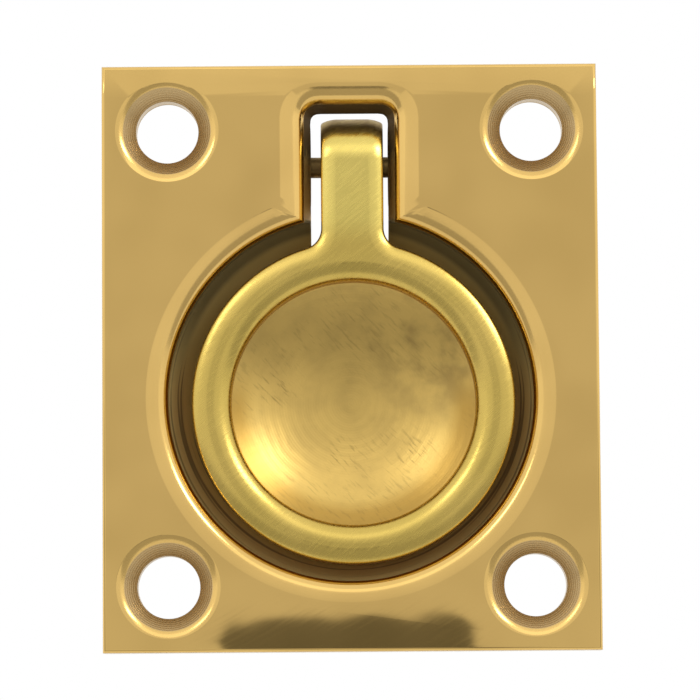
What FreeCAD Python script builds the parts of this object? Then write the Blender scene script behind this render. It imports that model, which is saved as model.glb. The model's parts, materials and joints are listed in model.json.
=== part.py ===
import FreeCAD, Part
import math
import os

# Flush ring pull for a drawer front or a hatch, upright as it is fixed.
# X runs across the plate, Y from the front to the back and Z up. The plate's back face, which lies
# on the drawer front, is the plane Y = 0, and the origin is the middle of the four screw holes.
# Three pieces: a cast plate with a dished recess, a cast ring, and the pin that the ring turns on.
# All sizes are in millimetres.

# Plate
PLATE_WIDTH = 38.0
PLATE_HEIGHT = 45.0
PLATE_THICKNESS = 3.0
PLATE_EDGE_RADIUS = 0.5

# Screw holes
SCREW_EDGE_DISTANCE = 5.0   # from the plate's edges to the middle of each hole
SCREW_HOLE_DIAMETER = 4.8
COUNTERSINK_DIAMETER = 6.8
COUNTERSINK_ANGLE = 90.0
SHOULDER_WIDTH = 0.55       # shallow worn slope round each countersink
SHOULDER_DEPTH = 0.22

# Round recess, with a dished floor that takes a fingertip behind the ring
RECESS_DIAMETER = 28.0
MOUTH_BEVEL = 0.6           # takes the edge off the recess and the slot on the front
DISH_WIDTH = 1.3            # shallow buffed band round that edge
DISH_DEPTH = 0.2
UPPER_MARGIN_SHARE = 0.205  # of the plain face above and below, the share that lies above the slot
BOWL_RADIUS = 20.0
CUP_WALL = 1.8

# Ring
RING_GAP = 1.6              # between the ring and the recess wall
RING_SAG = 0.3              # the ring hangs this far below the recess centre
RING_DROP = 1.0             # its face lies this far behind the plate's face
RING_BAND_WIDTH = 3.0
RING_THICKNESS = 3.0
RING_EDGE_BEVEL = 0.5       # front edge of the ring's outside, the arm and the knuckle
RING_HOLE_EDGE_RADIUS = 1.25  # front edge of the ring's hole
RING_BACK_CHAMFER = 0.5
RING_SEAT_CLEARANCE = 0.2   # between the ring's foot and the bowl
RING_SIDE_SHIFT = 0.2       # the ring rests slid this far along its pin

# Arm and knuckle of the ring
ARM_WIDTH = 4.8
ARM_ROOT_RADIUS = 1.6       # where the arm runs into the ring, seen from the front
KNUCKLE_RADIUS = 3.5        # about the pin, so that the end turns in the slot
KNUCKLE_WALL = 2.2          # metal behind and below the pin
KNUCKLE_ROOT_RADIUS = 1.2   # where the knuckle runs into the back of the arm

# Hinge
PIN_DIAMETER = 1.6
PIN_RISE = 18.2             # the pin lies this far above the recess centre
PIN_RUNNING_CLEARANCE = 0.05
CHEEK_THICKNESS = 3.0
CHEEK_WALL = 2.2            # metal round the pin in the cheeks
SLOT_SIDE_CLEARANCE = 0.6   # between the arm and each slot wall
SLOT_TOP_CLEARANCE = 0.5    # between the knuckle and the slot's upper wall
SLOT_END_LAP = 0.8          # the slot's lower end lies this far in behind the ring's rim
SLOT_FLARE = 0.6            # the slot widens by this much on each side towards the front
SLOT_CORNER_RADIUS = 0.6

# Places that follow from the sizes
FRONT_Y = -PLATE_THICKNESS
SCREW_X = PLATE_WIDTH / 2 - SCREW_EDGE_DISTANCE
SCREW_Z = PLATE_HEIGHT / 2 - SCREW_EDGE_DISTANCE
RECESS_RADIUS = RECESS_DIAMETER / 2
SLOT_RISE = PIN_RISE + KNUCKLE_RADIUS + SLOT_TOP_CLEARANCE
MOUTH_EDGE = MOUTH_BEVEL + DISH_WIDTH
MOUTH_HEIGHT = RECESS_RADIUS + SLOT_RISE + SLOT_FLARE + 2 * MOUTH_EDGE
LOWER_MARGIN = (PLATE_HEIGHT - MOUTH_HEIGHT) * (1 - UPPER_MARGIN_SHARE)
RECESS_Z = -PLATE_HEIGHT / 2 + LOWER_MARGIN + MOUTH_EDGE + RECESS_RADIUS
DISH_Y = FRONT_Y + DISH_DEPTH
BEVEL_Y = DISH_Y + MOUTH_BEVEL
RING_FRONT_Y = FRONT_Y + RING_DROP
RING_BACK_Y = RING_FRONT_Y + RING_THICKNESS
RING_RADIUS = RECESS_RADIUS - RING_GAP
RING_HOLE_RADIUS = RING_RADIUS - RING_BAND_WIDTH
RING_Z = RECESS_Z - RING_SAG
PIN_RADIUS = PIN_DIAMETER / 2
PIN_Y = RING_FRONT_Y + KNUCKLE_RADIUS
PIN_Z = RECESS_Z + PIN_RISE
SLOT_WIDTH = ARM_WIDTH + 2 * SLOT_SIDE_CLEARANCE
SLOT_TOP_Z = RECESS_Z + SLOT_RISE
SLOT_BOTTOM_Z = RING_Z + RING_RADIUS - SLOT_END_LAP
HINGE_WIDTH = SLOT_WIDTH + 2 * CHEEK_THICKNESS
CHEEK_RADIUS = PIN_RADIUS + CHEEK_WALL

# The bowl is part of a sphere. Its centre is placed so that the ring, at the foot of which both edges
# of the back chamfer come near the bowl, clears it by the seat clearance.
RING_FOOT = RING_RADIUS + RING_SAG
SEAT_RADIUS = BOWL_RADIUS - RING_SEAT_CLEARANCE
BOWL_Y = max(
    RING_BACK_Y - RING_BACK_CHAMFER - math.sqrt(SEAT_RADIUS ** 2 - RING_FOOT ** 2),
    RING_BACK_Y - math.sqrt(SEAT_RADIUS ** 2 - (RING_FOOT - RING_BACK_CHAMFER) ** 2),
)
CUP_RADIUS = BOWL_RADIUS + CUP_WALL
CUP_BACK_Y = BOWL_Y + CUP_RADIUS

TOUCH = 1e-4                # how near an edge lies to a plane or line that it is picked by
THROUGH = 5.0               # how far cutting shapes run past the metal

V = FreeCAD.Vector
ALONG_X = V(1, 0, 0)
ALONG_Y = V(0, 1, 0)


def line(start, end):
    return Part.LineSegment(start, end).toShape()


def arc(start, middle, end):
    return Part.Arc(start, middle, end).toShape()


def solid_of(shape):
    """The one solid that a boolean operation leaves."""
    shape = shape.removeSplitter()
    if len(shape.Solids) != 1:
        raise RuntimeError("expected one solid, found %d" % len(shape.Solids))
    return shape.Solids[0]


def point_on_circle(centre, radius, degrees):
    """A point in the plane of Y and Z, turned from the back towards the top."""
    turn = math.radians(degrees)
    return V(0, centre.y + radius * math.cos(turn), centre.z + radius * math.sin(turn))


def cup_blank():
    """The back of the recess, still solid inside: a tapered cup with a flat bottom.

    Its side is tangent, at the plate's back, to the sphere that lies one wall outside the bowl.
    """
    rim_radius = math.sqrt(CUP_RADIUS ** 2 - BOWL_Y ** 2)
    taper = -BOWL_Y / rim_radius
    start_y = FRONT_Y / 2
    start_radius = rim_radius - start_y * taper
    bottom_radius = rim_radius - CUP_BACK_Y * taper
    return Part.makeCone(start_radius, bottom_radius, CUP_BACK_Y - start_y, V(0, start_y, RECESS_Z), ALONG_Y)


def recess_cutter():
    """The space inside the recess: dish, bevel, a straight wall, then the spherical bowl."""
    rim_radius = RECESS_RADIUS + MOUTH_BEVEL
    dish = Part.makeCone(rim_radius + DISH_WIDTH, rim_radius, DISH_DEPTH, V(0, FRONT_Y, RECESS_Z), ALONG_Y)
    bevel = Part.makeCone(rim_radius, RECESS_RADIUS, MOUTH_BEVEL, V(0, DISH_Y, RECESS_Z), ALONG_Y)
    well = Part.makeCylinder(RECESS_RADIUS, CUP_BACK_Y - BEVEL_Y, V(0, BEVEL_Y, RECESS_Z), ALONG_Y)
    ball = Part.makeSphere(BOWL_RADIUS, V(0, BOWL_Y, RECESS_Z))
    return dish.fuse([bevel, well.common(ball)])


def slot_outline(y, grow):
    """The slot's outline at a depth, widened by grow, with its upper corners rounded."""
    half = SLOT_WIDTH / 2 + grow
    top = SLOT_TOP_Z + grow
    radius = SLOT_CORNER_RADIUS + grow
    inset = radius * (1 - math.sqrt(0.5))
    left_start = V(-half, y, top - radius)
    left_end = V(-half + radius, y, top)
    right_start = V(half - radius, y, top)
    right_end = V(half, y, top - radius)
    bottom_left = V(-half, y, SLOT_BOTTOM_Z)
    bottom_right = V(half, y, SLOT_BOTTOM_Z)
    return Part.Wire([
        line(bottom_left, left_start),
        arc(left_start, V(-half + inset, y, top - inset), left_end),
        line(left_end, right_start),
        arc(right_start, V(half - inset, y, top - inset), right_end),
        line(right_end, bottom_right),
        line(bottom_right, bottom_left),
    ])


def slot_cutter():
    """The slot that the arm hangs in: dished, bevelled and flared, and open at the back."""
    front = Part.makeLoft([
        slot_outline(FRONT_Y, SLOT_FLARE + MOUTH_EDGE),
        slot_outline(DISH_Y, SLOT_FLARE + MOUTH_BEVEL),
        slot_outline(BEVEL_Y, SLOT_FLARE),
        slot_outline(0, 0),
    ], True, True)
    behind = Part.Face(slot_outline(0, 0)).extrude(ALONG_Y * (CUP_BACK_Y + THROUGH))
    return front.fuse(behind)


def cheek(side):
    """One of the two lugs behind the plate that hold the pin, rounded about the pin."""
    inner = SLOT_WIDTH / 2
    x = inner if side > 0 else -inner - CHEEK_THICKNESS
    pin = V(0, PIN_Y, PIN_Z)
    upper = point_on_circle(pin, CHEEK_RADIUS, 90)
    back = point_on_circle(pin, CHEEK_RADIUS, 0)
    lower = point_on_circle(pin, CHEEK_RADIUS, -90)
    inside_y = FRONT_Y / 2
    outline = Part.Wire([
        line(V(0, inside_y, upper.z), upper),
        arc(upper, back, lower),
        line(lower, V(0, inside_y, lower.z)),
        line(V(0, inside_y, lower.z), V(0, inside_y, upper.z)),
    ])
    lug = Part.Face(outline).extrude(ALONG_X * CHEEK_THICKNESS)
    lug.translate(V(x, 0, 0))
    return lug


def screw_places():
    for x in (-SCREW_X, SCREW_X):
        for z in (-SCREW_Z, SCREW_Z):
            yield V(x, 0, z)


def screw_cutter(place):
    """A through hole with a countersink at the front and a shallow shoulder round it."""
    hole_radius = SCREW_HOLE_DIAMETER / 2
    sink_radius = COUNTERSINK_DIAMETER / 2
    sink_depth = (sink_radius - hole_radius) / math.tan(math.radians(COUNTERSINK_ANGLE / 2))
    front = V(place.x, FRONT_Y, place.z)
    sink_start = front + ALONG_Y * SHOULDER_DEPTH
    hole = Part.makeCylinder(hole_radius, PLATE_THICKNESS + THROUGH, front, ALONG_Y)
    sink = Part.makeCone(sink_radius, hole_radius, sink_depth, sink_start, ALONG_Y)
    shoulder = Part.makeCone(sink_radius + SHOULDER_WIDTH, sink_radius, SHOULDER_DEPTH, front, ALONG_Y)
    return hole.fuse([sink, shoulder])


def lies_in_plane(edge, y):
    box = edge.BoundBox
    return abs(box.YMin - y) < TOUCH and abs(box.YMax - y) < TOUCH


def plate_slab():
    """The rectangular plate with its front edges rounded."""
    slab = Part.makeBox(PLATE_WIDTH, PLATE_THICKNESS, PLATE_HEIGHT,
                        V(-PLATE_WIDTH / 2, FRONT_Y, -PLATE_HEIGHT / 2))
    front = [e for e in slab.Edges if lies_in_plane(e, FRONT_Y)]
    return slab.makeFillet(PLATE_EDGE_RADIUS, front)


def recessed_plate():
    """The casting: plate, cup, cheeks, and everything cut into them."""
    body = plate_slab().fuse([cup_blank(), cheek(-1), cheek(1)])
    body = solid_of(body.cut([recess_cutter(), slot_cutter()]))
    body = solid_of(body.cut([screw_cutter(place) for place in screw_places()]))
    pin_hole = Part.makeCylinder(PIN_RADIUS, HINGE_WIDTH, V(-HINGE_WIDTH / 2, PIN_Y, PIN_Z), ALONG_X)
    return solid_of(body.cut(pin_hole))


def ring_band():
    """The flat ring before its edges are rounded."""
    front = V(0, RING_FRONT_Y, RING_Z)
    outside = Part.makeCylinder(RING_RADIUS, RING_THICKNESS, front, ALONG_Y)
    hole = Part.makeCylinder(RING_HOLE_RADIUS, RING_THICKNESS + 2 * THROUGH, front - ALONG_Y * THROUGH, ALONG_Y)
    return outside, hole


def arm_with_knuckle():
    """The arm and the knuckle on its end, drawn from the side and given the arm's width."""
    pin = V(0, PIN_Y, PIN_Z)
    ring_middle = RING_Z + (RING_RADIUS + RING_HOLE_RADIUS) / 2
    reach = PIN_RADIUS + KNUCKLE_WALL
    front_top = point_on_circle(pin, KNUCKLE_RADIUS, 180)
    corner = point_on_circle(pin, KNUCKLE_RADIUS, 135)
    top = point_on_circle(pin, KNUCKLE_RADIUS, 90)
    back_top = V(0, PIN_Y + reach, top.z)
    back_bottom = V(0, PIN_Y + reach, PIN_Z - reach)
    root = V(0, RING_BACK_Y + KNUCKLE_ROOT_RADIUS, PIN_Z - reach - KNUCKLE_ROOT_RADIUS)
    root_start = point_on_circle(root, KNUCKLE_ROOT_RADIUS, 90)
    root_middle = point_on_circle(root, KNUCKLE_ROOT_RADIUS, 135)
    root_end = point_on_circle(root, KNUCKLE_ROOT_RADIUS, 180)
    front_bottom = V(0, RING_FRONT_Y, ring_middle)
    arm_bottom = V(0, RING_BACK_Y, ring_middle)
    outline = Part.Wire([
        line(front_bottom, front_top),
        arc(front_top, corner, top),
        line(top, back_top),
        line(back_top, back_bottom),
        line(back_bottom, root_start),
        arc(root_start, root_middle, root_end),
        line(root_end, arm_bottom),
        line(arm_bottom, front_bottom),
    ])
    arm = Part.Face(outline).extrude(ALONG_X * ARM_WIDTH)
    arm.translate(V(-ARM_WIDTH / 2, 0, 0))
    return arm


def round_arm_root(ring):
    """Runs the sides of the arm into the ring with a radius."""
    roots = []
    for edge in ring.Edges:
        box = edge.BoundBox
        straight = box.XLength < TOUCH and box.ZLength < TOUCH
        on_side = abs(abs(box.XMin) - ARM_WIDTH / 2) < TOUCH
        if straight and on_side and RING_Z < box.ZMin < RING_Z + RING_RADIUS:
            roots.append(edge)
    return ring.makeFillet(ARM_ROOT_RADIUS, roots)


def is_hole_edge(edge):
    return abs(edge.Length - 2 * math.pi * RING_HOLE_RADIUS) < TOUCH


def outline_edge(ring, y):
    """The rim's longest edge in a face. Bevels run on from it along all that is tangent to it."""
    edges = [e for e in ring.Edges if lies_in_plane(e, y) and not is_hole_edge(e)]
    return max(edges, key=lambda e: e.Length)


def finish_ring_edges(ring):
    """Rounds the hole's front edge, where a finger pulls, and bevels the other edges."""
    hole = [e for e in ring.Edges if is_hole_edge(e)]
    hole_front = [e for e in hole if lies_in_plane(e, RING_FRONT_Y)]
    ring = ring.makeFillet(RING_HOLE_EDGE_RADIUS, hole_front)
    ring = ring.makeChamfer(RING_EDGE_BEVEL, [outline_edge(ring, RING_FRONT_Y)])
    hole_back = [e for e in ring.Edges if is_hole_edge(e) and lies_in_plane(e, RING_BACK_Y)]
    return ring.makeChamfer(RING_BACK_CHAMFER, hole_back + [outline_edge(ring, RING_BACK_Y)])


def pull_ring():
    """The ring, its arm and its knuckle, cast in one piece and bored for the pin."""
    outside, hole = ring_band()
    ring = solid_of(outside.fuse(arm_with_knuckle()).cut(hole))
    ring = solid_of(round_arm_root(ring))
    ring = finish_ring_edges(ring)
    bore_radius = PIN_RADIUS + PIN_RUNNING_CLEARANCE
    bore = Part.makeCylinder(bore_radius, ARM_WIDTH + 2 * THROUGH,
                             V(-ARM_WIDTH / 2 - THROUGH, PIN_Y, PIN_Z), ALONG_X)
    ring = solid_of(ring.cut(bore))
    ring.translate(V(RING_SIDE_SHIFT, 0, 0))
    return ring


def hinge_pin():
    """The pin, pressed through both cheeks and flush with their outsides."""
    return Part.makeCylinder(PIN_RADIUS, HINGE_WIDTH, V(-HINGE_WIDTH / 2, PIN_Y, PIN_Z), ALONG_X)


def main():
    os.makedirs("parts", exist_ok=True)
    pieces = {
        "recessed_plate": recessed_plate(),
        "pull_ring": pull_ring(),
        "hinge_pin": hinge_pin(),
    }
    for name, shape in pieces.items():
        if not shape.isValid():
            raise RuntimeError(name + " is not a valid solid")
        shape.exportStep("parts/" + name + ".step")
        print(name, "volume %.1f mm3" % shape.Volume, "faces", len(shape.Faces))


main()
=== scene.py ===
import bmesh
import bpy
import json
import math
from mathutils import Matrix, Vector


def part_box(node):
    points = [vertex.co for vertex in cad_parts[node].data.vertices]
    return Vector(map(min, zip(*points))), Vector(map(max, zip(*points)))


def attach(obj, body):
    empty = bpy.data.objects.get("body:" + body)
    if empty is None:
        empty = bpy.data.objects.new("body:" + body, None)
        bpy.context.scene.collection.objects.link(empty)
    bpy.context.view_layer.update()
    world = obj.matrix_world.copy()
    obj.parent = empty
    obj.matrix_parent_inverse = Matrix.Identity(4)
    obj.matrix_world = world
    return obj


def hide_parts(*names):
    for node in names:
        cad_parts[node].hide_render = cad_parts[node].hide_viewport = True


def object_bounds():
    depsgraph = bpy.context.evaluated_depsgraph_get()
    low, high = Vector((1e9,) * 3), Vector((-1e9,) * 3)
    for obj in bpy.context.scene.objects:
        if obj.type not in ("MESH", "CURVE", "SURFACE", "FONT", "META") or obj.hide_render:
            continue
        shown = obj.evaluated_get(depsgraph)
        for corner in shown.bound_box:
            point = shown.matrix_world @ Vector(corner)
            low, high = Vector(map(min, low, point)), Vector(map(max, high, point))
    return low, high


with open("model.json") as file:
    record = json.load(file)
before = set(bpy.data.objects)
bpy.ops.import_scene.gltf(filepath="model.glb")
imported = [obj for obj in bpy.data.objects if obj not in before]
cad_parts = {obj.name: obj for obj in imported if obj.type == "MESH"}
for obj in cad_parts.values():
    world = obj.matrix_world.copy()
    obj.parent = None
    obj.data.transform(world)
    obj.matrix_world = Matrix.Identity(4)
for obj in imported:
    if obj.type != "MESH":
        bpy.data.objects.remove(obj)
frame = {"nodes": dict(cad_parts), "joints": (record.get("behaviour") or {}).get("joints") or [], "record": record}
cad_low, cad_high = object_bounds()

MM = 0.001


def in_mm(place):
    """A place of the frame in millimetres, to a thousandth."""
    return [round(c / MM, 3) for c in place]


# Sizes and places that the frame gives, in millimetres. Y runs from the front to the back, and Z up.
HALF_WIDTH, CUP_BACK, HALF_HEIGHT = in_mm(cad_high)
PLATE_FRONT = in_mm(cad_low)[1]
PIN_Y, PIN_Z = in_mm(frame["joints"][0]["pos_m"])[1:]
CHEEK_OUTSIDE = in_mm(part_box("hinge_pin")[1])[0]
SCREWS = frame["record"]["mounts"][0]["dims"]
SCREW_X = SCREWS["spacing_x_mm"] / 2
SCREW_Z = SCREWS["spacing_y_mm"] / 2
SCREW_HOLE = SCREWS["hole_r_mm"]
RING_LOW, RING_HIGH = [in_mm(corner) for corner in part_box("pull_ring")]
RING_X = round((RING_LOW[0] + RING_HIGH[0]) / 2, 3)
RING_FRONT = RING_LOW[1]
KNUCKLE_BACK = RING_HIGH[1]

# Other sizes of the solids, in millimetres
PIN_RADIUS = 0.8
PIN_RISE = 18.2             # from the middle of the recess up to the pin
RUNNING_CLEARANCE = 0.05    # round the pin in the knuckle
RECESS_RADIUS = 14.0
BOWL_RADIUS = 20.0
CUP_WALL = 1.8
CHEEK_RADIUS = 3.0          # round the pin, at the back of each cheek
SLOT_HALF = 3.0             # half the slot's width at the back of the plate
SLOT_FLARE = 0.6            # on each side it is this much wider at the front
SLOT_CORNER = 0.6
SLOT_RISE = 4.0             # from the pin up to the slot's upper wall
SLOT_LAP = 0.8              # the slot's lower end lies this far in behind the ring's rim
RING_RADIUS = 12.4
RING_HOLE = 9.4
RING_THICKNESS = 3.0
RING_SAG = 0.3              # the ring hangs this far below the middle of the recess
ARM_HALF = 2.4
ARM_ROOT = 1.6              # rounding where the arm runs into the ring
KNUCKLE_DROP = 3.0          # from the pin down to the knuckle's foot
KNUCKLE_ROOT = 1.2          # rounding where the knuckle runs into the arm's back

# Forms that are finer here than in the solids, in millimetres
BAND_REACH = 1.9            # the buffed band round the mouth starts this far out from the wall
BAND_SLOPE = 0.2 / 1.3
BAND_LINE = 1.65            # a line of points close to its outer edge keeps the band's shading flat
BAND_LINE_LIFT = 0.004      # it lies a hair high, so that it isn't taken for a needless edge
ROUNDING_START = 1.05       # where the rounded edge of the mouth leaves the band
ROUNDING_BEND = 0.04        # where the band and the wall would meet
ROUNDING_DEPTH = 1.35       # where the rounded edge has become the wall
SLOT_WALL_START = -0.15     # the slot's wall leans in, and the rounded edge meets it here
DUBBED_X, DUBBED_Z = 3.65, 10.55                      # corner between the slot and the recess
DUBBED_STEPS = [(-0.15, 3.7), (0.25, 0.75), (0.34, 0.1)]    # its depth under the face, and its radius
SHOULDER_START_RADIUS = 6.0                           # of the tool for the screw hole, before the face
SHOULDER_RADIUS, SHOULDER_DEPTH = 3.95, 0.01          # where the worn shoulder leaves the face
SHOULDER_BEND_RADIUS, SHOULDER_BEND_DEPTH = 3.525, 0.095
SINK_RADIUS, SINK_DEPTH = 3.3, 0.32                   # where it has become the countersink's cone
TOP_DUB, TOP_DUB_REACH = 0.14, 2.4                    # the plate leans back along its top edge
PLATE_EDGE = 0.25
CUP_START_Y, CUP_START_RADIUS = -1.0, 17.09           # inside the plate
CUP_TURN_Y, CUP_TURN_RADIUS = 6.75, 10.1              # where the taper turns into the bottom
CUP_BEND_RADIUS, CUP_BOTTOM_RADIUS = 9.7, 9.1
CROWN_RADIUS, CROWN_REACH = 2.7, 1.3                  # crowned front edge of ring and arm
CROWN_PLACES = (0.35, 0.5, 0.65, 0.8, 0.95, 1.1, 1.2)
RIM_ROUNDING, RIM_DEPTH = 0.2, 0.5                    # the crown bends over into the rim
HOLE_CROWN, HOLE_CROWN_START, HOLE_CROWN_STEP = 2.0, 10.95, 0.2
HOLE_ROUNDING, HOLE_WALL_DEPTH = 9.8, 0.95            # the crown bends over into the wall of the hole
BACK_BEVEL = 0.45
ARM_SPARE = 2.2             # the arm is drawn this far past the pin, and its end is cut off again
ROLL_LIFT = 0.25            # the rolled end of the arm stands this much higher than in the solids

# Places that follow from these, in millimetres
RECESS_Z = PIN_Z - PIN_RISE
BOWL_Y = CUP_BACK - CUP_WALL - BOWL_RADIUS
RING_Z = RECESS_Z - RING_SAG
RING_BACK = RING_FRONT + RING_THICKNESS
SLOT_TOP = PIN_Z + SLOT_RISE
SLOT_BOTTOM = RING_Z + RING_RADIUS - SLOT_LAP
KNUCKLE_FOOT = PIN_Z - KNUCKLE_DROP
ROLL_Z = PIN_Z + ROLL_LIFT

# How the tools cut and join, in millimetres and degrees
CLEAR = 0.2                 # cutting tools start this far before a face
LAP = 0.1                   # pieces that are joined run this far into each other
HAIR = 0.01                 # and lie this far inside each other's sides
NEAR = 0.02                 # what lies this close to a plane is taken to be in it
THROUGH = 12.0
PAST_BACK = 1.0
PAST_CHEEKS = 7.0
PRESS_EASE = 0.004          # the pin's holes in the cheeks are this much wider, so that no faces coincide
FACING = 0.9                # a face looks along an axis if its normal has this share of it
ALMOST = 0.999              # keeps two roundings from meeting
FINE_GAP = 0.002            # points closer than this are merged between cuts
MERGE_GAP = 0.004           # and closer than this in the finished plate
FLAT_ANGLE = 0.05
BENT_ANGLE = 20
SHARP_ANGLE = 32


# Tools of the bench

def deselect():
    if bpy.context.mode != "OBJECT":
        bpy.ops.object.mode_set(mode="OBJECT")
    bpy.ops.object.select_all(action="DESELECT")


def take(piece):
    deselect()
    piece.select_set(True)
    bpy.context.view_layer.objects.active = piece


def edit(piece):
    take(piece)
    bpy.ops.object.mode_set(mode="EDIT")


def done():
    bpy.ops.object.mode_set(mode="OBJECT")


def settle(name):
    """Names a new primitive and puts its place and size in its mesh."""
    piece = bpy.context.object
    piece.name = name
    bpy.ops.object.transform_apply(location=True, rotation=True, scale=True)
    return piece


def block(name, low, high):
    """A cube between two corners, in millimetres."""
    deselect()
    middle = [(a + b) / 2 * MM for a, b in zip(low, high)]
    size = [(b - a) * MM for a, b in zip(low, high)]
    bpy.ops.mesh.primitive_cube_add(size=1, location=middle, scale=size)
    return settle(name)


def cross_rod(name, radius, y, z, sides):
    """A cylinder along X that runs out past both cheeks, in millimetres."""
    deselect()
    bpy.ops.mesh.primitive_cylinder_add(vertices=sides, radius=radius * MM, depth=2 * PAST_CHEEKS * MM,
                                        location=(0, y * MM, z * MM), rotation=(0, math.radians(90), 0))
    return settle(name)


def turned(name, x, z, steps, sides):
    """A solid turned about a line along Y, from pairs of depth and radius, in millimetres."""
    deselect()
    y, radius = steps[0]
    bpy.ops.mesh.primitive_circle_add(vertices=sides, radius=radius * MM, fill_type="NGON",
                                      location=(x * MM, y * MM, z * MM),
                                      rotation=(math.radians(90), 0, 0))
    piece = settle(name)
    edit(piece)
    bpy.ops.mesh.select_all(action="SELECT")
    for next_y, next_radius in steps[1:]:
        bpy.ops.mesh.extrude_region_move(
            TRANSFORM_OT_translate={"value": (0, (next_y - y) * MM, 0)})
        grow = next_radius / radius
        bpy.ops.transform.resize(value=(grow, 1, grow),
                                 center_override=(x * MM, next_y * MM, z * MM))
        y, radius = next_y, next_radius
    bpy.ops.mesh.select_all(action="SELECT")
    bpy.ops.mesh.normals_make_consistent(inside=False)
    done()
    return piece


def combine(piece, tool, how):
    """Joins a tool to a piece or cuts it out of it, and puts the tool away."""
    take(piece)
    step = piece.modifiers.new(how.lower(), "BOOLEAN")
    step.operation = how
    step.solver = "EXACT"
    step.object = tool
    bpy.ops.object.modifier_apply(modifier=step.name)
    bpy.data.objects.remove(tool)


def curve_points(first, bend, last, count):
    """Points of a smooth bend that leaves one line for another."""
    points = []
    for i in range(count + 1):
        t = i / count
        points.append(tuple(a * (1 - t) ** 2 + 2 * b * t * (1 - t) + c * t ** 2
                            for a, b, c in zip(first, bend, last)))
    return points


def crown_depth(radius, way):
    """How far a crown of that radius has fallen, a way past the line where it leaves the flat."""
    return radius - math.sqrt(radius ** 2 - way ** 2)


def crown_slope(radius, way):
    """How steeply it falls there."""
    return way / math.sqrt(radius ** 2 - way ** 2)


def select_edges(piece, chosen):
    """In edit mode, selects the bent edges that chosen says yes to, given both ends in millimetres."""
    bpy.ops.mesh.select_mode(type="EDGE")
    bpy.ops.mesh.select_all(action="DESELECT")
    net = bmesh.from_edit_mesh(piece.data)
    for e in net.edges:
        bent = len(e.link_faces) == 2 and e.calc_face_angle() > math.radians(BENT_ANGLE)
        if bent and chosen(e.verts[0].co / MM, e.verts[1].co / MM):
            e.select_set(True)
    bmesh.update_edit_mesh(piece.data)


def select_faces(piece, chosen):
    """In edit mode, selects the faces that chosen says yes to, given the middle and the normal."""
    bpy.ops.mesh.select_mode(type="FACE")
    bpy.ops.mesh.select_all(action="DESELECT")
    net = bmesh.from_edit_mesh(piece.data)
    for f in net.faces:
        if chosen(f.calc_center_median() / MM, f.normal):
            f.select_set(True)
    bmesh.update_edit_mesh(piece.data)


def merge(piece):
    """Merges points that lie together, so that the next cut starts from sound faces."""
    edit(piece)
    bpy.ops.mesh.select_all(action="SELECT")
    bpy.ops.mesh.remove_doubles(threshold=FINE_GAP * MM)
    done()


def clean(piece):
    """Merges points that lie together and flattens out needless edges."""
    edit(piece)
    bpy.ops.mesh.select_all(action="SELECT")
    bpy.ops.mesh.remove_doubles(threshold=MERGE_GAP * MM)
    bpy.ops.mesh.dissolve_limited(angle_limit=math.radians(FLAT_ANGLE))
    bpy.ops.mesh.select_all(action="SELECT")
    bpy.ops.mesh.normals_make_consistent(inside=False)
    done()


def smooth(piece):
    """Smooth shading except over sharp edges, with flat faces kept flat."""
    take(piece)
    bpy.ops.object.shade_smooth_by_angle(angle=math.radians(SHARP_ANGLE))
    step = piece.modifiers.new("even shading", "WEIGHTED_NORMAL")
    step.keep_sharp = True
    step.weight = 100
    bpy.ops.object.modifier_apply(modifier=step.name)


# Plate

def band_depth(offset):
    """How deep the buffed band lies under the face, at an offset from the wall."""
    return (BAND_REACH - offset) * BAND_SLOPE


def mouth_profile(wall_start):
    """Offset and depth across the buffed band and the rounded edge, from before the face to the wall."""
    steps = [(BAND_REACH + CLEAR / BAND_SLOPE, -CLEAR), (BAND_LINE, band_depth(BAND_LINE) - BAND_LINE_LIFT)]
    start = (ROUNDING_START, band_depth(ROUNDING_START))
    bend = (ROUNDING_BEND, band_depth(ROUNDING_BEND))
    return steps + curve_points(start, bend, (wall_start, ROUNDING_DEPTH), count=12)


def recess_tool():
    """The round recess: band, rounded mouth, wall and the bowl."""
    steps = [(PLATE_FRONT + depth, RECESS_RADIUS + offset) for offset, depth in mouth_profile(0)]
    rim_lean = math.asin(RECESS_RADIUS / BOWL_RADIUS)
    steps.append((BOWL_Y + BOWL_RADIUS * math.cos(rim_lean), RECESS_RADIUS))
    count = 26
    for i in range(1, count):
        lean = rim_lean * (1 - i / count)
        steps.append((BOWL_Y + BOWL_RADIUS * math.cos(lean), BOWL_RADIUS * math.sin(lean)))
    return turned("recess_tool", 0, RECESS_Z, steps, sides=160)


def slot_tool():
    """The slot for the arm: one outline, set in step by step, then driven through."""
    steps = mouth_profile(SLOT_WALL_START) + [(-SLOT_FLARE, -PLATE_FRONT)]
    grow = steps[0][0] + SLOT_FLARE
    front = PLATE_FRONT + steps[0][1]
    tool = block("slot_tool", (-SLOT_HALF - grow, front - 1, SLOT_BOTTOM - grow),
                 (SLOT_HALF + grow, front, SLOT_TOP + grow))
    edit(tool)
    select_edges(tool, lambda a, b: abs(a.y - b.y) > NEAR and a.z > SLOT_TOP)
    bpy.ops.mesh.bevel(offset=(SLOT_CORNER + grow) * MM, segments=8)
    select_faces(tool, lambda middle, normal: normal.y > FACING)
    for (offset, depth), (next_offset, next_depth) in zip(steps, steps[1:]):
        bpy.ops.mesh.inset(thickness=(offset - next_offset) * MM, depth=(next_depth - depth) * MM)
    bpy.ops.mesh.extrude_region_move(TRANSFORM_OT_translate={"value": (0, THROUGH * MM, 0)})
    done()
    return tool


def corner_tool(side):
    """The dubbed corner where the slot runs into the recess, worn lower than the band beside it."""
    steps = [(PLATE_FRONT + depth, radius) for depth, radius in DUBBED_STEPS]
    return turned("corner_tool", side * DUBBED_X, DUBBED_Z, steps, sides=64)


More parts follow.
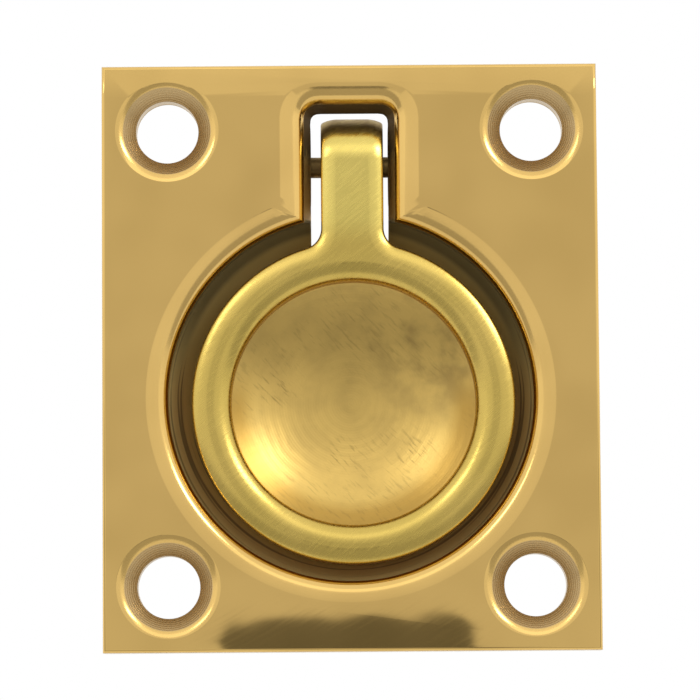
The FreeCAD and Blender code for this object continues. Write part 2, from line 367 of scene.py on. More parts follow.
def screw_tool(x, z):
    """A screw hole with its countersink of 90 degrees and the worn shoulder round it."""
    shoulder = curve_points((SHOULDER_RADIUS, SHOULDER_DEPTH), (SHOULDER_BEND_RADIUS, SHOULDER_BEND_DEPTH),
                            (SINK_RADIUS, SINK_DEPTH), count=6)
    steps = [(PLATE_FRONT - 2 * CLEAR, SHOULDER_START_RADIUS)]
    steps += [(PLATE_FRONT + depth, radius) for radius, depth in shoulder]
    steps += [(PLATE_FRONT + SINK_DEPTH + SINK_RADIUS - SCREW_HOLE, SCREW_HOLE), (PAST_BACK, SCREW_HOLE)]
    return turned("screw_tool", x, z, steps, sides=72)


def cheek(side):
    """One of the two lugs that hold the pin, rounded about it at the back."""
    low, high = sorted((side * (SLOT_HALF - 1), side * CHEEK_OUTSIDE))
    lug = block("cheek", (low, PLATE_FRONT / 2, PIN_Z - CHEEK_RADIUS),
                (high, PIN_Y + CHEEK_RADIUS, PIN_Z + CHEEK_RADIUS))
    edit(lug)
    select_edges(lug, lambda a, b: a.y > PIN_Y and b.y > PIN_Y and abs(a.x - b.x) > NEAR)
    bpy.ops.mesh.bevel(offset=CHEEK_RADIUS * ALMOST * MM, segments=12)
    done()
    return lug


def cup():
    """The outside of the recess behind the plate, tapered, with a flat bottom."""
    steps = [(CUP_START_Y, CUP_START_RADIUS)]
    steps += curve_points((CUP_TURN_Y, CUP_TURN_RADIUS), (CUP_BACK, CUP_BEND_RADIUS),
                          (CUP_BACK, CUP_BOTTOM_RADIUS), count=5)
    return turned("cup", 0, RECESS_Z, steps, sides=128)


def in_front(a, b):
    """Whether an edge of the plain plate lies in its front, given both ends."""
    return max(a.y, b.y) < PLATE_FRONT / 2


def brass_plate():
    """The casting: the plate, with its cup and cheeks, and all that is cut into it."""
    plate = block("plate", (-HALF_WIDTH, PLATE_FRONT, -HALF_HEIGHT), (HALF_WIDTH, 0, HALF_HEIGHT))
    edit(plate)
    bpy.ops.mesh.select_all(action="SELECT")
    bpy.ops.mesh.bisect(plane_co=(0, 0, (HALF_HEIGHT - TOP_DUB_REACH) * MM), plane_no=(0, 0, 1))
    select_edges(plate, lambda a, b: in_front(a, b) and min(a.z, b.z) > HALF_HEIGHT - NEAR)
    bpy.ops.transform.translate(value=(0, TOP_DUB * MM, 0))
    select_edges(plate, in_front)
    bpy.ops.mesh.bevel(offset=PLATE_EDGE * MM, segments=4)
    done()
    for x in (-SCREW_X, SCREW_X):
        for z in (-SCREW_Z, SCREW_Z):
            combine(plate, screw_tool(x, z), "DIFFERENCE")
    for tool in (cup(), cheek(-1), cheek(1)):
        combine(plate, tool, "UNION")
    combine(plate, recess_tool(), "DIFFERENCE")
    combine(plate, slot_tool(), "DIFFERENCE")
    combine(plate, corner_tool(-1), "DIFFERENCE")
    combine(plate, corner_tool(1), "DIFFERENCE")
    combine(plate, cross_rod("pin_hole", PIN_RADIUS + PRESS_EASE, PIN_Y, PIN_Z, sides=48), "DIFFERENCE")
    clean(plate)
    smooth(plate)
    return plate


# Ring

def draw_to(x, z):
    """Runs the outline on in a straight line, from the point drawn last."""
    bpy.ops.mesh.extrude_region_move(TRANSFORM_OT_translate={"value": (x * MM, 0, z * MM)})


def draw_arc(x, z, degrees, count):
    """Runs the outline on in an arc, clockwise as seen from the front."""
    bpy.ops.mesh.spin(steps=count, angle=math.radians(degrees), axis=(0, -1, 0),
                      center=(x * MM, RING_FRONT * MM, z * MM))


def ring_crown():
    """Inset and depth of the crowned front edge, from the rim inwards."""
    way = CROWN_REACH - RIM_ROUNDING
    depth = crown_depth(CROWN_RADIUS, way)
    bend_depth = depth + RIM_ROUNDING * crown_slope(CROWN_RADIUS, way)
    steps = curve_points((0.0, RIM_DEPTH), (0.0, bend_depth), (RIM_ROUNDING, depth), count=5)
    steps += [(inset, crown_depth(CROWN_RADIUS, CROWN_REACH - inset)) for inset in CROWN_PLACES]
    return steps


def ring_outline():
    """The ring and its arm, drawn as one outline, given a thickness, with softly crowned front edges."""
    start_y = RING_FRONT + RIM_DEPTH
    reach = RING_RADIUS + ARM_ROOT
    root_x = ARM_HALF + ARM_ROOT
    root_z = math.sqrt(reach ** 2 - root_x ** 2)
    lean = math.degrees(math.asin(root_x / reach))
    rim_x, rim_z = root_x * RING_RADIUS / reach, root_z * RING_RADIUS / reach
    rise = PIN_Z + ARM_SPARE - RING_Z - root_z
    deselect()
    bpy.ops.mesh.primitive_plane_add(
        size=MM, location=((RING_X + rim_x) * MM, start_y * MM, (RING_Z + rim_z) * MM))
    piece = settle("ring")
    edit(piece)
    bpy.ops.mesh.select_mode(type="VERT")
    bpy.ops.mesh.merge(type="CENTER")
    draw_arc(RING_X, RING_Z, 360 - 2 * lean, count=170)
    draw_arc(RING_X - root_x, RING_Z + root_z, lean - 90, count=12)
    draw_to(0, rise)
    draw_to(2 * ARM_HALF, 0)
    draw_to(0, -rise)
    draw_arc(RING_X + root_x, RING_Z + root_z, lean - 90, count=12)
    bpy.ops.mesh.select_all(action="SELECT")
    bpy.ops.mesh.remove_doubles(threshold=FINE_GAP * MM)
    bpy.ops.mesh.select_all(action="SELECT")
    bpy.ops.mesh.edge_face_add()
    bpy.ops.mesh.extrude_region_move(
        TRANSFORM_OT_translate={"value": (0, (RING_BACK - start_y) * MM, 0)})
    bpy.ops.mesh.select_all(action="SELECT")
    bpy.ops.mesh.normals_make_consistent(inside=False)
    select_edges(piece, lambda a, b: min(a.y, b.y) > RING_BACK - NEAR)
    bpy.ops.mesh.bevel(offset=BACK_BEVEL * MM, segments=3)
    select_faces(piece, lambda middle, normal: normal.y < -FACING)
    crown = ring_crown()
    for (inset, depth), (next_inset, next_depth) in zip(crown, crown[1:]):
        bpy.ops.mesh.inset(thickness=(next_inset - inset) * MM, depth=(depth - next_depth) * MM)
    done()
    return piece


def roll_end(ring):
    """Cuts the arm off near the pin and rolls its end over the pin towards the back."""
    edit(ring)
    bpy.ops.mesh.select_all(action="SELECT")
    bpy.ops.mesh.bisect(plane_co=(0, 0, ROLL_Z * MM), plane_no=(0, 0, 1), use_fill=True, clear_outer=True)
    select_faces(ring, lambda middle, normal: normal.z > FACING and middle.z > ROLL_Z - NEAR)
    bpy.ops.mesh.spin(steps=16, angle=math.radians(90), axis=(1, 0, 0),
                      center=(0, PIN_Y * MM, ROLL_Z * MM))
    bpy.ops.mesh.extrude_region_move(
        TRANSFORM_OT_translate={"value": (0, (KNUCKLE_BACK - PIN_Y) * MM, 0)})
    bpy.ops.mesh.select_all(action="SELECT")
    bpy.ops.mesh.normals_make_consistent(inside=False)
    done()


def knuckle():
    """The metal behind and below the pin, with a rounded root against the arm's back."""
    half = ARM_HALF - HAIR
    front = RING_BACK - LAP
    hollow_y, hollow_z = RING_BACK + KNUCKLE_ROOT, KNUCKLE_FOOT - KNUCKLE_ROOT
    piece = block("knuckle", (RING_X - half, front, KNUCKLE_FOOT),
                  (RING_X + half, KNUCKLE_BACK - HAIR, PIN_Z + KNUCKLE_DROP / 2))
    web = block("web", (RING_X - half + HAIR, front, hollow_z),
                (RING_X + half - HAIR, hollow_y, KNUCKLE_FOOT + LAP))
    combine(web, cross_rod("hollow", KNUCKLE_ROOT, hollow_y, hollow_z, sides=64), "DIFFERENCE")
    combine(piece, web, "UNION")
    merge(piece)
    return piece


def hole_tool():
    """The hole of the ring, crowned at the front, where a finger pulls, and bevelled at the back."""
    way = HOLE_CROWN_START - HOLE_ROUNDING
    depth = crown_depth(HOLE_CROWN, way)
    bend_depth = depth + (HOLE_ROUNDING - RING_HOLE) * crown_slope(HOLE_CROWN, way)
    crown = [(HOLE_CROWN_START - i * HOLE_CROWN_STEP, crown_depth(HOLE_CROWN, i * HOLE_CROWN_STEP))
             for i in range(6)]
    crown += curve_points((HOLE_ROUNDING, depth), (RING_HOLE, bend_depth), (RING_HOLE, HOLE_WALL_DEPTH),
                          count=6)
    steps = [(RING_FRONT - CLEAR / 4, RING_RADIUS - CLEAR)]
    steps += [(RING_FRONT + depth, radius) for radius, depth in crown]
    steps += [(RING_BACK - BACK_BEVEL, RING_HOLE), (RING_BACK + CLEAR, RING_HOLE + BACK_BEVEL + CLEAR)]
    return turned("hole", RING_X, RING_Z, steps, sides=180)


def brass_ring():
    """The ring with its arm and knuckle, and the bore for the pin."""
    ring = ring_outline()
    roll_end(ring)
    combine(ring, knuckle(), "UNION")
    merge(ring)
    combine(ring, hole_tool(), "DIFFERENCE")
    bore = cross_rod("bore", PIN_RADIUS + RUNNING_CLEARANCE, PIN_Y, PIN_Z, sides=48)
    combine(ring, bore, "DIFFERENCE")
    smooth(ring)
    return ring


plate = brass_plate()
ring = brass_ring()


# Tools of the finishes

def node(tree, kind, feeds=None, **settings):
    """Adds a node, sets it up, and feeds its sockets with values or with other nodes' outputs."""
    made = tree.nodes.new(kind)
    for name, value in settings.items():
        setattr(made, name, value)
    for socket, value in (feeds or {}).items():
        feed(tree, made, socket, value)
    return made


def feed(tree, made, socket, value):
    if isinstance(value, bpy.types.NodeSocket):
        tree.links.new(value, made.inputs[socket])
    else:
        made.inputs[socket].default_value = value


def sums(tree, how, a, b=0.0):
    return node(tree, "ShaderNodeMath", {0: a, 1: b}, operation=how).outputs[0]


def both(tree, a, b):
    """Where both masks hold, or a share of one value."""
    return sums(tree, "MULTIPLY", a, b)


def total(tree, *parts):
    result = parts[0]
    for part in parts[1:]:
        result = sums(tree, "ADD", result, part)
    return result


def vectors(tree, how, a, b=(0, 0, 0)):
    return node(tree, "ShaderNodeVectorMath", {0: a, 1: b}, operation=how).outputs


def ramp(tree, value, low, high, start=0.0, end=1.0):
    """Goes smoothly from start to end while value goes from low to high."""
    return node(tree, "ShaderNodeMapRange", {0: value, 1: low, 2: high, 3: start, 4: end},
                interpolation_type="SMOOTHSTEP").outputs[0]


def within(tree, value, edge, soft):
    """A mask that holds where value is below edge, and fades out over a soft width past it."""
    return ramp(tree, value, edge + soft, edge)


def past(tree, value, edge, soft):
    """A mask that starts where value passes edge, and holds fully a soft width past it."""
    return ramp(tree, value, edge, edge + soft)


def blend(tree, factor, a, b):
    return node(tree, "ShaderNodeMix", {0: factor, 6: a, 7: b}, data_type="RGBA").outputs[2]


def layers(tree, colour, *paints):
    """Lays paints over a colour one after another, each by its mask."""
    for mask, paint in paints:
        colour = blend(tree, mask, colour, paint)
    return colour


def noise(tree, place, scale, detail):
    return node(tree, "ShaderNodeTexNoise", {"Vector": place, "Scale": scale, "Detail": detail}).outputs[0]


def distance(tree, place, point, across):
    """How far a place lies from a point, measured along the axes that are given as 1 in across."""
    away = vectors(tree, "SUBTRACT", place, point)[0]
    flat = vectors(tree, "MULTIPLY", away, across)[0]
    return vectors(tree, "LENGTH", flat)["Value"]


def axes(tree, place):
    return node(tree, "ShaderNodeSeparateXYZ", {0: place}).outputs


def new_effect(name, inputs, outputs):
    tree = bpy.data.node_groups.new(name, "ShaderNodeTree")
    for socket, kind in inputs.items():
        tree.interface.new_socket(name=socket, in_out="INPUT", socket_type=kind)
    for socket in outputs:
        tree.interface.new_socket(name=socket, in_out="OUTPUT", socket_type="NodeSocketFloat")
    return tree, node(tree, "NodeGroupInput").outputs, node(tree, "NodeGroupOutput").inputs


def effect(tree, kind, feeds):
    return node(tree, "ShaderNodeGroup", feeds, node_tree=kind).outputs


def new_finish(name):
    """A bare metal finish: its material, its tree, and the place on the piece in millimetres."""
    mat = bpy.data.materials.new(name)
    mat.use_nodes = True
    tree = mat.node_tree
    at = node(tree, "ShaderNodeTexCoord").outputs["Object"]
    place = node(tree, "ShaderNodeVectorMath", {0: at, "Scale": 1 / MM}, operation="SCALE").outputs[0]
    return mat, tree, place


def wear(tree, colour, roughness, metallic, height):
    """Feeds what was worked out for a finish to its shader. Height is in millimetres."""
    shader = tree.nodes["Principled BSDF"]
    bump = node(tree, "ShaderNodeBump", {"Height": height, "Distance": MM, "Strength": 1.0}).outputs[0]
    feed(tree, shader, "Base Color", colour)
    feed(tree, shader, "Roughness", roughness)
    feed(tree, shader, "Metallic", metallic)
    feed(tree, shader, "Normal", bump)


ABOUT_Y = (1, 0, 1)
EVERY_WAY = (1, 1, 1)


# Effects that the finishes share

def polish_marks():
    """Fine lines left by the buff, run out in one direction, and the soft waves of a hand polished face."""
    tree, given, out = new_effect(
        "polish marks",
        {"Place": "NodeSocketVector", "Turn": "NodeSocketFloat", "Stretch": "NodeSocketFloat"},
        ("Lines", "Waves"))
    laid = node(tree, "ShaderNodeVectorRotate", {"Vector": given["Place"], "Angle": given["Turn"]},
                rotation_type="Y_AXIS").outputs[0]
    along = sums(tree, "DIVIDE", 1.0, given["Stretch"])
    scale = node(tree, "ShaderNodeCombineXYZ", {0: along, 1: 1.0, 2: 3.5}).outputs[0]
    drawn = vectors(tree, "MULTIPLY", laid, scale)[0]
    tree.links.new(noise(tree, drawn, 1.6, 4.0), out["Lines"])
    tree.links.new(noise(tree, given["Place"], 0.16, 1.0), out["Waves"])
    return tree


def cast_skin():
    """The grainy surface that a casting keeps where nobody has worked on it."""
    tree, given, out = new_effect(
        "cast skin", {"Place": "NodeSocketVector", "Grain": "NodeSocketFloat"}, ("Height", "Specks"))
    coarse = noise(tree, given["Place"], given["Grain"], 3.0)
    finer = sums(tree, "MULTIPLY", given["Grain"], 1.7)
    cells = node(tree, "ShaderNodeTexVoronoi", {"Vector": given["Place"], "Scale": finer},
                 feature="SMOOTH_F1").outputs["Distance"]
    tree.links.new(total(tree, coarse, both(tree, cells, 0.6)), out["Height"])
    tree.links.new(ramp(tree, cells, 0.1, 0.4, 1.0, 0.0), out["Specks"])
    return tree


def dirt_and_shade_cover():
    """Dirt and painted shade that lie in corners, uneven, in flecks at their edge."""
    tree, given, out = new_effect(
        "dirt and painted shade", {"Place": "NodeSocketVector", "Reach": "NodeSocketFloat"}, ("Cover",))
    uneven = noise(tree, given["Place"], 1.3, 5.0)
    share = total(tree, both(tree, given["Reach"], 1.5), sums(tree, "SUBTRACT", uneven, 1.0))
    tree.links.new(ramp(tree, share, 0.0, 0.7), out["Cover"])
    return tree


MARKS, SKIN, DIRT_AND_SHADE = polish_marks(), cast_skin(), dirt_and_shade_cover()


# Finish of the plate

DEEP_BRASS, LIGHT_BRASS = (0.765, 0.505, 0.16, 1), (0.835, 0.555, 0.18, 1)
BOWL_BRASS, BOWL_PATINA_AND_SHADE = (0.67, 0.455, 0.13, 1), (0.40, 0.27, 0.085, 1)
RIM_BROWN, SMUDGE_BROWN = (0.45, 0.265, 0.055, 1), (0.20, 0.135, 0.045, 1)
SINK_BRASS = (0.57, 0.41, 0.20, 1)
CAST_DEEP, CAST_LIGHT = (0.50, 0.335, 0.115, 1), (0.62, 0.42, 0.15, 1)
SLOT_SHADE_BROWN = (0.16, 0.105, 0.045, 1)
GROOVE_DIRT_AND_SHADE, GROOVE_SHADE_BLACK = (0.55, 0.43, 0.17, 1), (0.11, 0.088, 0.04, 1)
SMUDGES = ((-5.9, -1.9), (-0.5, -6.9), (4.7, -6.9))    # x and z of dark spots in the bowl
PAINTED_SHADE_SIDE = (7.5, 0, 3.0)                              # painted shade: the bowl's patina is laid on darker round here, on its upper right side
TURNING_CENTRE = (0, 0, RECESS_Z + 0.1)


def plate_zones(tree, place):
    """Masks of what is finished in different ways, and the distances that marks follow."""
    x, y, z = axes(tree, place)
    out_x, out_z = sums(tree, "ABSOLUTE", x), sums(tree, "ABSOLUTE", z)
    corner = node(tree, "ShaderNodeCombineXYZ", {0: out_x, 2: out_z}).outputs[0]
    from_screw = distance(tree, corner, (SCREW_X, 0, SCREW_Z), ABOUT_Y)
    from_recess = distance(tree, place, (0, 0, RECESS_Z), ABOUT_Y)
    from_ball = distance(tree, place, (0, BOWL_Y, RECESS_Z), EVERY_WAY)
    in_recess = both(tree, within(tree, from_ball, BOWL_RADIUS + 0.5, 0.4),
                     within(tree, from_recess, RECESS_RADIUS + 0.1, 0.2))
    in_slot = both(tree, within(tree, out_x, SLOT_HALF + SLOT_FLARE + 0.05, 0.1), past(tree, z, 10.4, 0.5))
    bowl = both(tree, in_recess, past(tree, y, PLATE_FRONT + 1.1, 0.4))
    return {
        "from_screw": from_screw,
        "from_recess": from_recess,
        "y": y,
        "z": z,
        "bowl": bowl,
        "groove": both(tree, bowl, past(tree, from_recess, 11.3, 1.3)),
        "slot": both(tree, in_slot, past(tree, y, PLATE_FRONT + 0.85, 0.45)),
        "behind": both(tree, past(tree, y, -0.35, 0.2), past(tree, from_ball, BOWL_RADIUS + 0.5, 0.4)),
        "sink": both(tree, within(tree, from_screw, SINK_RADIUS + 0.04, 0.12),
                     past(tree, y, PLATE_FRONT + 0.2, 0.1)),
        "shoulder": within(tree, from_screw, SHOULDER_RADIUS - 0.25, 0.45),
    }


def bowl_smudges(tree, place):
    """Dark streaks in the bowl, strongest round a few spots."""
    marks = effect(tree, MARKS, {"Place": place, "Turn": -0.8, "Stretch": 2.0})
    spots = both(tree, ramp(tree, marks["Waves"], 0.45, 0.6), 0.4)
    for spot_x, spot_z in SMUDGES:
        from_spot = distance(tree, place, (spot_x, 0, spot_z), ABOUT_Y)
        spots = sums(tree, "MAXIMUM", spots, within(tree, from_spot, 0.3, 1.6))
    return both(tree, ramp(tree, marks["Lines"], 0.53, 0.7), spots)


def bowl_colours(tree, place, zones):
    """The bowl's brass under its patina, with painted shade over its upper right side, its brown lower rim and its
    smudges.
    """
    # Painted shade: the patina is laid on far more strongly round the bowl's upper right side than elsewhere.
    from_painted_shade = distance(tree, place, PAINTED_SHADE_SIDE, ABOUT_Y)
    patina_and_shade = both(tree, ramp(tree, noise(tree, place, 0.45, 6.0), 0.35, 0.7),
                  ramp(tree, from_painted_shade, 10.0, 2.0, 0.3, 1.0))
    low_rim = both(tree, past(tree, zones["from_recess"], 7.3, 1.6), within(tree, zones["z"], -4.0, 4.0))
    return layers(tree, BOWL_BRASS, (patina_and_shade, BOWL_PATINA_AND_SHADE), (both(tree, low_rim, 0.8), RIM_BROWN),
                  (both(tree, bowl_smudges(tree, place), 0.65), SMUDGE_BROWN))


def groove_shade(tree, zones):
    """Painted shade in the groove: black that lies in rings, and all over its wall at the top, which faces down,
    away from the lamps.
    """
    spread = node(tree, "ShaderNodeCombineXYZ", {0: both(tree, zones["from_recess"], 4.0),
                                                 2: both(tree, zones["z"], 0.05)}).outputs[0]
    shaded_upper_wall = both(tree, past(tree, zones["z"], -3.0, 8.0), past(tree, zones["from_recess"], 13.0, 0.5))
    # Painted shade: black in rings round the groove, and over its upper wall.
    shade_cover = sums(tree, "MAXIMUM", ramp(tree, noise(tree, spread, 1.0, 3.0), 0.55, 0.66), shaded_upper_wall)
    return both(tree, shade_cover, zones["groove"])


def turned_height(tree, place, zones):
    """Height of the rings that turning left in the bowl and in the countersinks."""
    from_turning = distance(tree, place, TURNING_CENTRE, ABOUT_Y)
    wobble = both(tree, noise(tree, place, 0.5, 2.0), 0.8)
    rings = sums(tree, "SINE", both(tree, total(tree, from_turning, wobble), 9.0))
    fine_rings = sums(tree, "SINE", both(tree, from_turning, 31.0))
    sink_rings = sums(tree, "SINE", both(tree, zones["from_screw"], 42.0))
    bowl_rings = total(tree, both(tree, rings, 0.0016), both(tree, fine_rings, 0.0005))
    return total(tree, both(tree, bowl_rings, zones["bowl"]),
                 both(tree, both(tree, sink_rings, 0.0012), zones["sink"]))


def plate_finish():
    """Polished brass, satin in its countersinks, brown in the bowl, with dirt and painted shade in the groove,
    painted shade in the slot, and raw at the back.
    """
    mat, tree, place = new_finish("polished brass")
    zones = plate_zones(tree, place)
    marks = effect(tree, MARKS, {"Place": place, "Turn": 0.5, "Stretch": 6.0})
    skin = effect(tree, SKIN, {"Place": place, "Grain": 3.0})
    # Dirt and painted shade down in the narrow groove round the ring: browner brass, rougher and a little less
    # metallic.
    groove_dirt_and_shade = effect(tree, DIRT_AND_SHADE, {"Place": place, "Reach": zones["groove"]})["Cover"]
    # Painted shade, uneven like dirt, high on the slot's walls, where the slot is narrow round the arm and the
    # knuckle.
    high_in_slot = both(tree, zones["slot"], ramp(tree, zones["z"], 13.5, 16.5, 0.0, 0.85))
    slot_shade = effect(tree, DIRT_AND_SHADE, {"Place": place, "Reach": high_in_slot})["Cover"]

    brass = blend(tree, ramp(tree, marks["Waves"], 0.3, 0.7), DEEP_BRASS, LIGHT_BRASS)
    colour = layers(tree, brass,
                    (zones["bowl"], bowl_colours(tree, place, zones)),
                    (zones["sink"], SINK_BRASS),
                    (zones["behind"], blend(tree, skin["Specks"], CAST_DEEP, CAST_LIGHT)),
                    # painted shade on the slot's walls
                    (slot_shade, SLOT_SHADE_BROWN),
                    # dirt and painted shade in the groove
                    (groove_dirt_and_shade, GROOVE_DIRT_AND_SHADE),
                    # painted shade: black in the groove
                    (both(tree, groove_shade(tree, zones), 0.7), GROOVE_SHADE_BLACK))
    roughness = total(tree, ramp(tree, marks["Lines"], 0.4, 0.75, 0.03, 0.045),
                      both(tree, zones["bowl"], 0.17),
                      ramp(tree, zones["y"], PLATE_FRONT + 0.01, PLATE_FRONT + 0.15, 0.0, 0.12),
                      both(tree, zones["shoulder"], 0.08),
                      both(tree, zones["slot"], 0.3),
                      both(tree, zones["sink"], 0.04),
                      both(tree, zones["behind"], 0.34),
                      both(tree, sums(tree, "MAXIMUM", slot_shade, groove_dirt_and_shade), 0.25))
    metallic = sums(tree, "SUBTRACT", 1.0, both(tree, groove_dirt_and_shade, 0.15))
    height = total(tree, both(tree, marks["Lines"], 0.00003), both(tree, marks["Waves"], 0.012),
                   turned_height(tree, place, zones),
                   both(tree, both(tree, skin["Height"], 0.035), zones["behind"]))
    wear(tree, colour, roughness, metallic, height)
    return mat


# Finish of the ring

RING_DEEP, RING_LIGHT = (0.64, 0.465, 0.112, 1), (0.70, 0.505, 0.13, 1)
ARM_SHEEN_DEEP, ARM_SHEEN_LIGHT = (0.74, 0.58, 0.15, 1), (0.80, 0.63, 0.17, 1)
HOLE_DEEP, HOLE_LIGHT = (0.55, 0.34, 0.09, 1), (0.86, 0.62, 0.22, 1)
RING_SHADE_BROWN, LOW_RIM_REFLECTION, RAW_BACK = (0.20, 0.11, 0.035, 1), (0.55, 0.22, 0.05, 1), (0.46, 0.32, 0.11, 1)


def ring_finish():
    """Satin brass, grainy in the hole and at the back, with painted shade on the rim's side and beside the hinge,
    a painted warm reflection low on the rim and a painted sheen on the arm.
    """
    mat, tree, place = new_finish("satin brass")
    x, y, z = axes(tree, place)
    grain = effect(tree, MARKS, {"Place": place, "Turn": 0.7, "Stretch": 3.0})
    skin = effect(tree, SKIN, {"Place": place, "Grain": 4.5})
    from_ring = distance(tree, place, (RING_X, 0, RING_Z), ABOUT_Y)
    from_arm = sums(tree, "ABSOLUTE", sums(tree, "SUBTRACT", x, RING_X))
    in_hole = both(tree, within(tree, from_ring, RING_HOLE + 0.1, 0.12),
                   past(tree, y, RING_FRONT + HOLE_WALL_DEPTH, 0.3))
    on_rim = both(tree, past(tree, from_ring, RING_RADIUS - 0.15, 0.11),
                  past(tree, y, RING_FRONT + RIM_DEPTH - 0.05, 0.35))
    low_rim = both(tree, on_rim, within(tree, z, -4.0, 6.0))
    behind = past(tree, y, RING_BACK - 0.4, 0.2)
    on_arm = past(tree, z, 8.5, 2.5)
    beside_hinge = both(tree, past(tree, z, 12.0, 2.0), past(tree, from_arm, ARM_HALF - 0.1, 0.08))
    raw = sums(tree, "MAXIMUM", in_hole, behind)
    # Painted shade, uneven like dirt, on the rim's side down in the groove and on the arm's sides beside the
    # hinge.
    shaded = sums(tree, "MAXIMUM", both(tree, on_rim, 0.75), beside_hinge)
    painted_shade = effect(tree, DIRT_AND_SHADE, {"Place": place, "Reach": shaded})["Cover"]

    tone = ramp(tree, grain["Waves"], 0.3, 0.7)
    colour = layers(tree, blend(tree, tone, RING_DEEP, RING_LIGHT),
                    # painted sheen: the arm gets a lighter, yellower copy of the ring's brass
                    (on_arm, blend(tree, tone, ARM_SHEEN_DEEP, ARM_SHEEN_LIGHT)),
                    (in_hole, blend(tree, skin["Specks"], HOLE_DEEP, HOLE_LIGHT)),
                    # painted shade on the rim and beside the hinge
                    (both(tree, painted_shade, 0.8), RING_SHADE_BROWN),
                    # painted reflection: a warm orange tint low on the ring's rim
                    (both(tree, low_rim, 0.6), LOW_RIM_REFLECTION),
                    (both(tree, behind, 0.7), RAW_BACK))
    roughness = total(tree, ramp(tree, grain["Lines"], 0.3, 0.75, 0.20, 0.32), both(tree, raw, 0.16),
                      both(tree, painted_shade, 0.2))
    height = total(tree, both(tree, grain["Lines"], 0.0022), both(tree, grain["Waves"], 0.014),
                   both(tree, both(tree, skin["Height"], 0.05), raw))
    wear(tree, colour, roughness, 1.0, height)
    return mat


# Finish of the pin

PIN_DEEP, PIN_LIGHT, PIN_SHADE_BROWN = (0.40, 0.27, 0.09, 1), (0.55, 0.38, 0.13, 1), (0.12, 0.075, 0.03, 1)


def pin_finish():
    """Drawn brass rod, with painted shade all along except at its ends."""
    mat, tree, place = new_finish("pin brass")
    out_x = sums(tree, "ABSOLUTE", axes(tree, place)[0])
    drawn = effect(tree, MARKS, {"Place": place, "Turn": 0.0, "Stretch": 12.0})
    # Painted shade inside the cheeks and the knuckle, fading out towards the pin's ends.
    shaded = ramp(tree, out_x, CHEEK_OUTSIDE - 0.1, CHEEK_OUTSIDE - 0.5, 0.1, 0.7)
    painted_shade = effect(tree, DIRT_AND_SHADE, {"Place": place, "Reach": shaded})["Cover"]
    brass = blend(tree, drawn["Lines"], PIN_DEEP, PIN_LIGHT)
    colour = layers(tree, brass, (both(tree, painted_shade, 0.8), PIN_SHADE_BROWN))
    roughness = total(tree, ramp(tree, drawn["Lines"], 0.3, 0.7, 0.25, 0.38), both(tree, painted_shade, 0.2))
    wear(tree, colour, roughness, 1.0, both(tree, drawn["Lines"], 0.004))
    return mat


def dress(piece, mat):
    piece.data.materials.clear()
    piece.data.materials.append(mat)


dress(plate, plate_finish())
dress(ring, ring_finish())
pin = frame["nodes"]["hinge_pin"]
pin.material_slots[0].material = pin_finish()

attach(plate, "plate")
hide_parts("recessed_plate")
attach(ring, "ring")
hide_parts("pull_ring")


# Studio, with places and sizes in millimetres

PICTURE_WIDTH = 700         # in pixels
PIXELS_PER_MM = 13.09
PITCH, ROLL, DISTANCE = 5.0, -0.42, 330.0
TARGET = (-0.05, PLATE_FRONT, 0.48)
EYE = (TARGET[0], TARGET[1] - DISTANCE * math.cos(math.radians(PITCH)),
       TARGET[2] - DISTANCE * math.sin(math.radians(PITCH)))
SENSOR = 36
FLOOR_Z, FLOOR_SIZE = -75.0, 3000.0
PALE = (0.86, 0.86, 0.85, 1)
WHITE = (1, 1, 1, 1)
WALL_SIZE, WALL_Z, WALL_LEVEL = (540, 380), 115, 0.84    # the wall behind the camera
SHADE_Z, SHADE_LEVEL = 28, 0.66                          # it is darker round here
SHADE_START, SHADE_END = 46, 88
LENS_SIZE, LENS_CORNER, LENS_LEVEL = (42, 120), 5, 0.16  # the camera, as the plate mirrors it
LENS_X, LENS_Z, LENS_EDGE = -1.3, -71, 1.4
MIDDLE = (0, 0, 0)


def hang_camera():
    camera = bpy.data.objects.new("camera", bpy.data.cameras.new("camera"))
    bpy.context.scene.collection.objects.link(camera)
    view = (Vector(TARGET) - Vector(EYE)).normalized()
    turn = view.to_track_quat("-Z", "Y").to_matrix().to_4x4() @ Matrix.Rotation(math.radians(ROLL), 4, "Z")
    camera.matrix_world = Matrix.Translation(Vector(EYE) * MM) @ turn
    camera.data.sensor_width = SENSOR
    camera.data.lens = SENSOR * DISTANCE / (PICTURE_WIDTH / PIXELS_PER_MM)
    camera.data.clip_start = 0.01
    bpy.context.scene.camera = camera


def light_the_room():
    world = bpy.data.worlds.new("studio")
    bpy.context.scene.world = world
    world.use_nodes = True
    sky = world.node_tree.nodes["Background"]
    sky.inputs["Color"].default_value = WHITE
    sky.inputs["Strength"].default_value = 1.0
    bpy.context.scene.view_settings.view_transform = "Standard"


def card(name, place, size, level, faces=None):
    """A card that the brass mirrors: upright, or turned to face a place. Level is how bright it is."""
    deselect()
    bpy.ops.mesh.primitive_grid_add(x_subdivisions=1, y_subdivisions=1, size=1)
    sheet = bpy.context.object
    sheet.name = name
    spot = Vector(place) * MM
    look = (Vector(faces) * MM - spot) if faces else Vector((0, 1, 0))
    turn = look.normalized().to_track_quat("Z", "Y").to_matrix().to_4x4()
    spread = Matrix.Diagonal((size[0] * MM, size[1] * MM, 1, 1))
    sheet.matrix_world = Matrix.Translation(spot) @ turn @ spread
    glow = bpy.data.materials.new(name)
    glow.use_nodes = True
    tree = glow.node_tree
    tree.nodes.clear()
    light = node(tree, "ShaderNodeEmission", {"Color": WHITE, "Strength": level}).outputs[0]
    node(tree, "ShaderNodeOutputMaterial", {"Surface": light})
    sheet.data.materials.append(glow)
    sheet.visible_camera = False
    sheet.visible_diffuse = False
    sheet.visible_shadow = False
    return tree


def place_on_card(tree, size):
    at = node(tree, "ShaderNodeTexCoord").outputs["Object"]
    return vectors(tree, "MULTIPLY", at, (*size, 0))[0]


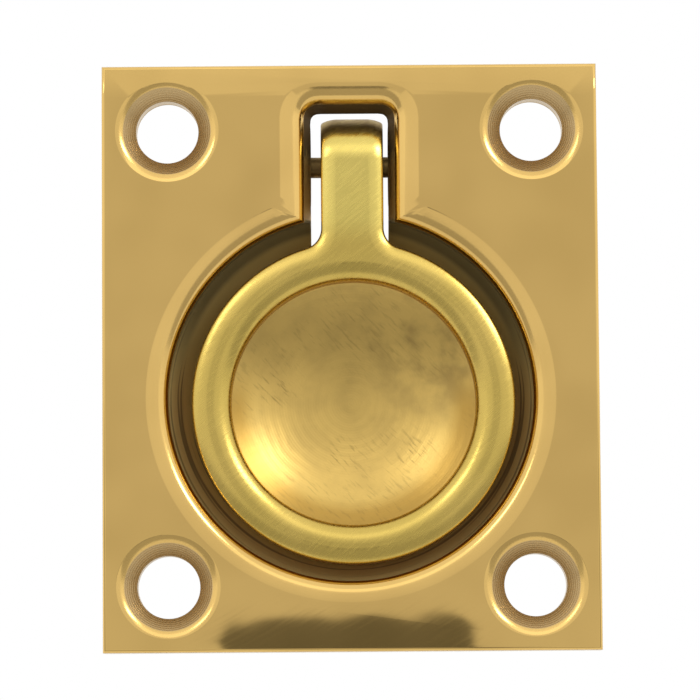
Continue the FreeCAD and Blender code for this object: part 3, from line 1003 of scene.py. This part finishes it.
def shade(tree, level):
    """Makes a card as bright as level says at each place."""
    glow = next(n for n in tree.nodes if n.type == "EMISSION")
    tree.links.new(level, glow.inputs["Strength"])


def front_card():
    """The wall behind the camera, darker in the middle, where the flat face of the plate mirrors it."""
    tree = card("front_card", (0, EYE[1] - 10, WALL_Z), WALL_SIZE, 1.0)
    away = distance(tree, place_on_card(tree, WALL_SIZE), (0, SHADE_Z - WALL_Z, 0), (1, 0.85, 0))
    shade(tree, ramp(tree, away, SHADE_START, SHADE_END, SHADE_LEVEL, WALL_LEVEL))


def camera_shadow():
    """The camera as the plate mirrors it: a dark block with rounded corners."""
    tree = card("camera_shadow", (LENS_X, EYE[1] - 2, LENS_Z), LENS_SIZE, 1.0)
    out = vectors(tree, "ABSOLUTE", place_on_card(tree, LENS_SIZE))[0]
    straight = tuple(side / 2 - LENS_CORNER for side in LENS_SIZE)
    beyond = vectors(tree, "SUBTRACT", out, (*straight, 0))[0]
    beyond = vectors(tree, "MAXIMUM", beyond)[0]
    away = vectors(tree, "LENGTH", beyond)["Value"]
    shade(tree, ramp(tree, away, LENS_CORNER - LENS_EDGE, LENS_CORNER, LENS_LEVEL, SHADE_LEVEL))


def pale_floor():
    deselect()
    bpy.ops.mesh.primitive_grid_add(x_subdivisions=1, y_subdivisions=1, size=FLOOR_SIZE * MM,
                                    location=(0, 0, FLOOR_Z * MM))
    floor = bpy.context.object
    floor.name = "floor"
    mat = bpy.data.materials.new("pale floor")
    mat.use_nodes = True
    shader = mat.node_tree.nodes["Principled BSDF"]
    shader.inputs["Base Color"].default_value = PALE
    shader.inputs["Roughness"].default_value = 0.7
    floor.data.materials.append(mat)


hang_camera()
light_the_room()
camera_shadow()
front_card()
card("right_softbox", (282, -273, 218), (125, 145), 8.0, MIDDLE)
card("left_softbox", (-245, -325, 203), (105, 140), 4.2, MIDDLE)
card("upper_strip", (0, -290, 219), (325, 128), 1.35, MIDDLE)
card("low_card", (0, -230, FLOOR_Z + 2), (700, 330), 0.47, (0, -230, 1000))
pale_floor()
